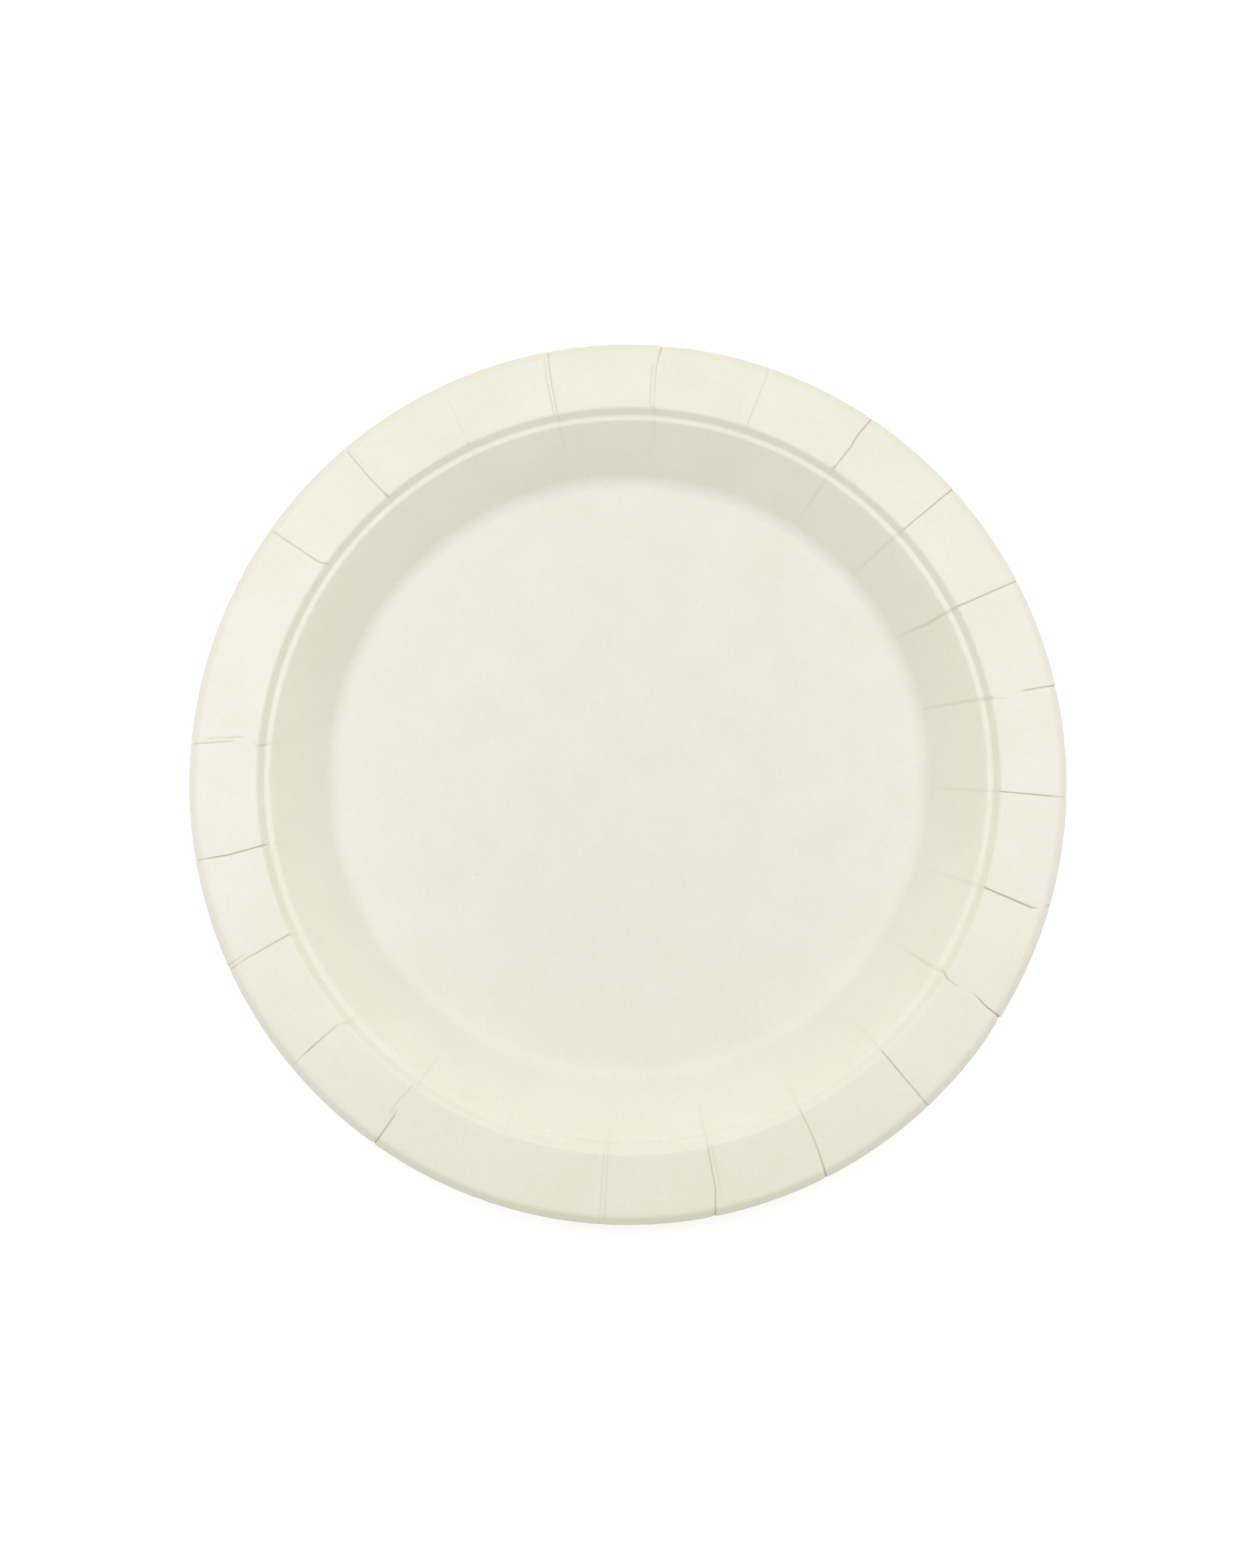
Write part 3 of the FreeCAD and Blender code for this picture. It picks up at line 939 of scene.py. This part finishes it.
def board_material(finish: BoardFinish) -> bpy.types.Material:
    """The paperboard: a soft mottle of fibres, painted shade in the creases that is partly their cracked
    coating, a duller cut edge and a plainer underside.

    The mottle is a sum of a fine and a coarse noise. It is painted darker on the floor and lighter on the brim
    in step with the height, as painted shade and painted light, and each speck is a cone around its place.

    Args:
        finish: Its colours and texture.

    Returns:
        The material.
    """
    material = bpy.data.materials.new("board")
    graph = Graph(material)
    place = graph.add("ShaderNodeTexCoord").outputs["Object"]
    fibre = graph.noise(place, finish.fibre_size, finish.fibre_detail)
    cloud = graph.noise(place, finish.cloud_size, finish.cloud_detail)
    fine = graph.math("MULTIPLY", fibre, finish.fibre_share)
    coarse = graph.math("MULTIPLY", cloud, finish.cloud_share)
    tone = graph.spread(graph.math("ADD", fine, coarse), finish.tone_range)
    colour = graph.mix(tone, finish.deep, finish.pale)
    apart = graph.add("ShaderNodeSeparateXYZ")
    graph.link(place, apart.inputs[0])
    # Painted light and shade: darker towards the plate's floor, lighter towards its brim.
    rise = graph.spread(apart.outputs["Z"], finish.shade_to_light_heights)
    height_light_and_shade = graph.mix(rise, finish.floor_painted_shade, finish.brim_painted_light)
    colour = graph.mix(1.0, colour, height_light_and_shade, blend="MULTIPLY")
    below = graph.math("MULTIPLY", graph.attribute("below"), finish.below_share)
    colour = graph.mix(below, colour, finish.below)
    colour = graph.mix(graph.attribute("cut"), colour, finish.cut)
    # Painted shade along the pleats' creases, wall lines and pinches, partly the creases' cracked coating.
    colour = graph.mix(graph.math("MINIMUM", graph.attribute("crease_wear_and_shade"), 1.0), colour, finish.crease_wear_and_shade)
    for x, y, size in finish.specks:
        away = graph.add("ShaderNodeVectorMath", operation="DISTANCE")
        graph.link(place, away.inputs[0])
        away.inputs[1].default_value = (x * MM, y * MM, PressedForm.board)
        inside = graph.math("SUBTRACT", 1.0, graph.math("DIVIDE", away.outputs["Value"], size * MM))
        colour = graph.mix(graph.math("MAXIMUM", inside, 0.0), colour, finish.speck)
    shader = graph.add("ShaderNodeBsdfPrincipled")
    shader.inputs["IOR"].default_value = finish.index
    shader.inputs["Specular IOR Level"].default_value = finish.sheen
    graph.link(colour, shader.inputs["Base Color"])
    uneven = graph.math("MULTIPLY", fibre, finish.rough_spread)
    rough = graph.math("ADD", uneven, finish.rough - finish.rough_spread / 2)
    graph.link(rough, shader.inputs["Roughness"])
    bump = graph.add("ShaderNodeBump")
    bump.inputs["Strength"].default_value = finish.bump_strength
    bump.inputs["Distance"].default_value = finish.bump
    graph.link(fibre, bump.inputs["Height"])
    graph.link(bump.outputs["Normal"], shader.inputs["Normal"])
    output = graph.add("ShaderNodeOutputMaterial")
    graph.link(shader.outputs["BSDF"], output.inputs["Surface"])
    return material


@dataclass(frozen=True)
class FloorFinish:
    """The pale floor: its own colour, and the lift that shows it white to the camera outside the shadow."""

    colour: tuple[float, float, float] = (0.86, 0.86, 0.86)
    grain_size: float = 4.0 * MM
    grain_detail: float = 3.0
    grain_dim: float = 0.99
    lift: float = 0.45


def floor_material(finish: FloorFinish) -> bpy.types.Material:
    """A plain matt floor, a little brighter where it is seen directly or in a reflection.

    Args:
        finish: Its colour and lift.

    Returns:
        The material.
    """
    material = bpy.data.materials.new("floor")
    graph = Graph(material)
    place = graph.add("ShaderNodeTexCoord").outputs["Object"]
    grain = graph.noise(place, finish.grain_size, finish.grain_detail)
    dim = tuple(value * finish.grain_dim for value in finish.colour)
    diffuse = graph.add("ShaderNodeBsdfDiffuse")
    graph.link(graph.mix(grain, finish.colour, dim), diffuse.inputs["Color"])
    glow = graph.add("ShaderNodeEmission")
    graph.link(graph.math("MULTIPLY", graph.seen(), finish.lift), glow.inputs["Strength"])
    both = graph.add("ShaderNodeAddShader")
    graph.link(diffuse.outputs["BSDF"], both.inputs[0])
    graph.link(glow.outputs["Emission"], both.inputs[1])
    output = graph.add("ShaderNodeOutputMaterial")
    graph.link(both.outputs["Shader"], output.inputs["Surface"])
    return material


@dataclass
class Floor:
    """The plain floor that the plate lies on."""

    half: float = 4.0
    drop: float = 0.02 * MM

    def build(self, material: bpy.types.Material) -> bpy.types.Object:
        """Lays the floor.

        Args:
            material: Its material.

        Returns:
            The floor's object.
        """
        corners = [(-1, -1), (1, -1), (1, 1), (-1, 1)]
        mesh = bpy.data.meshes.new("floor")
        mesh.from_pydata([(self.half * x, self.half * y, -self.drop) for x, y in corners], [], [(0, 1, 2, 3)])
        floor = bpy.data.objects.new("floor", mesh)
        floor.data.materials.append(material)
        bpy.context.collection.objects.link(floor)
        LOG.info("floor: %.1f m across", 2 * self.half)
        return floor


@dataclass(frozen=True)
class Lamp:
    """A soft square lamp, aimed at the plate."""

    name: str
    place: tuple[float, float, float]
    size: float
    power: float
    colour: tuple[float, float, float] = (1.0, 1.0, 1.0)

    def build(self) -> bpy.types.Object:
        """Hangs the lamp.

        Returns:
            The lamp's object.
        """
        data = bpy.data.lights.new(self.name, "AREA")
        data.shape = "SQUARE"
        data.size = self.size
        data.energy = self.power
        data.color = self.colour
        lamp = bpy.data.objects.new(self.name, data)
        lamp.location = self.place
        lamp.rotation_euler = (-Vector(self.place)).to_track_quat("-Z", "Y").to_euler()
        lamp.visible_camera = False
        bpy.context.collection.objects.link(lamp)
        LOG.info("%s: %.2f W", self.name, self.power)
        return lamp


@dataclass
class Studio:
    """The lamps and the even light around them."""

    lamps: tuple[Lamp, ...] = (
        Lamp("lamp_back", (0.0, 0.85, 1.36), 0.9, 5.95, (1.0, 1.0, 0.93)),
        Lamp("lamp_near", (0.0, 0.26, 0.34), 0.15, 0.12, (0.72, 0.78, 1.0)),
        Lamp("lamp_left", (-0.21, 0.0, 0.22), 0.10, 0.135, (0.69, 0.74, 1.0)),
        Lamp("lamp_right", (0.21, 0.0, 0.22), 0.10, 0.115, (0.68, 0.73, 1.0)),
    )
    sky: tuple[float, float, float] = (0.628, 0.606, 0.542)
    backdrop: tuple[float, float, float] = (1.0, 1.0, 1.0)

    def build(self) -> None:
        """Hangs the lamps, and lights the world with the sky while its backdrop shows white."""
        for lamp in self.lamps:
            lamp.build()
        world = bpy.data.worlds.new("studio")
        graph = Graph(world)
        background = graph.add("ShaderNodeBackground")
        graph.link(graph.mix(graph.seen(), self.sky, self.backdrop), background.inputs["Color"])
        output = graph.add("ShaderNodeOutputWorld")
        graph.link(background.outputs["Background"], output.inputs["Surface"])
        bpy.context.scene.world = world


@dataclass
class Viewpoint:
    """The photograph's viewpoint: above the plate, tilted a little towards its back and its right."""

    place: tuple[float, float, float] = (-0.0045, -0.002, 0.326)
    tilt_back: float = math.radians(4.84)
    tilt_right: float = math.radians(0.59)
    lens: float = 27.10
    shift: tuple[float, float] = (0.0018, -0.0672)
    near_clip: float = 0.01

    def build(self) -> bpy.types.Object:
        """Sets up the camera.

        Returns:
            The camera's object.
        """
        data = bpy.data.cameras.new("camera")
        data.lens = self.lens
        data.shift_x, data.shift_y = self.shift
        data.clip_start = self.near_clip
        camera = bpy.data.objects.new("camera", data)
        camera.location = self.place
        camera.rotation_euler = (self.tilt_back, -self.tilt_right, 0.0)
        bpy.context.collection.objects.link(camera)
        bpy.context.scene.camera = camera
        return camera


def main() -> None:
    """Builds the scene in order."""
    logging.basicConfig(level=logging.INFO, format="%(message)s")
    bpy.context.scene.view_settings.view_transform = "Standard"
    Viewpoint().build()
    Studio().build()
    Floor().build(floor_material(FloorFinish()))
    PlateSheet().build(board_material(BoardFinish()))


if __name__ == "__main__":
    main()
